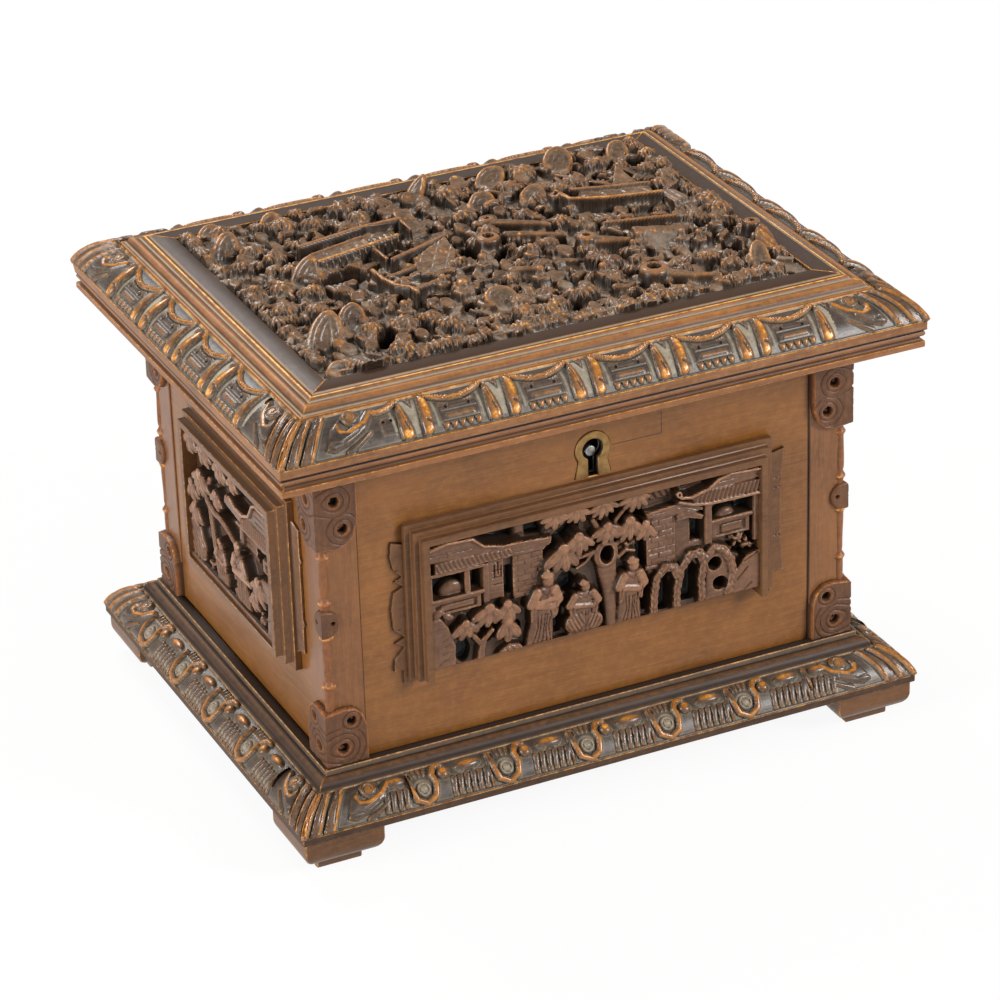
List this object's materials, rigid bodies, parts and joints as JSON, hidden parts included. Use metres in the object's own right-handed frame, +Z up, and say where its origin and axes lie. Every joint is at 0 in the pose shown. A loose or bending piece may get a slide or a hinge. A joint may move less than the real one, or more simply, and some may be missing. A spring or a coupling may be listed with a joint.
{
  "type": "jewelry box",
  "caption": "Carved hardwood jewelry casket: moulded plinth on block feet, framed relief panels, overhanging hinged carved lid and a brass-faced box lock.",
  "frame": {"origin": "middle of the footprint, on the surface that the feet stand on", "axes": "+Z up, -Y towards the front with the keyhole, +X to the right seen from the front"},
  "size_m": [0.25, 0.199, 0.1843],
  "materials": {
    "carved_wood": "dark waxed carving with worn edges and dusty recesses",
    "moulding_wood": "dark waxed hardwood, edges worn to orange brown",
    "board_wood": "satin orange-brown hardwood boards",
    "inner_wood": "plain dull hardwood",
    "aged_brass": "aged dull brass",
    "lock_steel": "dull grey steel",
    "lining_cloth": "dark red velvet"
  },
  "bodies": {
    "case": {"back_board": "board_wood", "back_carving": "carved_wood", "back_frame": "moulding_wood", "base_board": "inner_wood", "drill_pin": "lock_steel", "escutcheon": "aged_brass", "floor_pad": "lining_cloth", "foot_back_left": "moulding_wood", "foot_back_right": "moulding_wood", "foot_front_left": "moulding_wood", "foot_front_right": "moulding_wood", "front_board": "board_wood", "front_carving": "carved_wood", "front_frame": "moulding_wood", "hinge_case_screws": "lock_steel", "hinge_left_case_leaf": "aged_brass", "hinge_left_pin": "lock_steel", "hinge_right_case_leaf": "aged_brass", "hinge_right_pin": "lock_steel", "left_board": "board_wood", "left_carving": "carved_wood", "left_frame": "moulding_wood", "lining_back": "lining_cloth", "lining_front": "lining_cloth", "lining_left": "lining_cloth", "lining_right": "lining_cloth", "lock_cap": "aged_brass", "lock_plate": "aged_brass", "lock_screws": "lock_steel", "plinth_back": "moulding_wood", "plinth_front": "moulding_wood", "plinth_left": "moulding_wood", "plinth_right": "moulding_wood", "post_back_left": "moulding_wood", "post_back_right": "moulding_wood", "post_front_left": "moulding_wood", "post_front_right": "moulding_wood", "right_board": "board_wood", "right_carving": "carved_wood", "right_frame": "moulding_wood", "rim_back": "moulding_wood", "rim_front": "moulding_wood", "rim_left": "moulding_wood", "rim_right": "moulding_wood"},
    "lid": {"hinge_left_lid_leaf": "aged_brass", "hinge_lid_screws": "lock_steel", "hinge_right_lid_leaf": "aged_brass", "lid_board": "inner_wood", "lid_carving": "carved_wood", "lid_lining": "lining_cloth", "lid_moulding_back": "moulding_wood", "lid_moulding_front": "moulding_wood", "lid_moulding_left": "moulding_wood", "lid_moulding_right": "moulding_wood", "link_plate": "aged_brass", "link_screws": "lock_steel"},
    "lock_bolt": {"lock_bolt": "lock_steel", "bolt_spring": "lock_steel"}
  },
  "joints": [
    {"name": "lid_hinge", "type": "hinge", "parent": "case", "child": "lid", "pos_m": [0, 0.0975, 0.15915], "axis": [-1, 0, 0], "range_deg": [0, 95]},
    {"name": "bolt_slide", "type": "slide", "parent": "case", "child": "lock_bolt", "axis": [1, 0, 0], "range_m": [0, 0.005]}
  ]
}
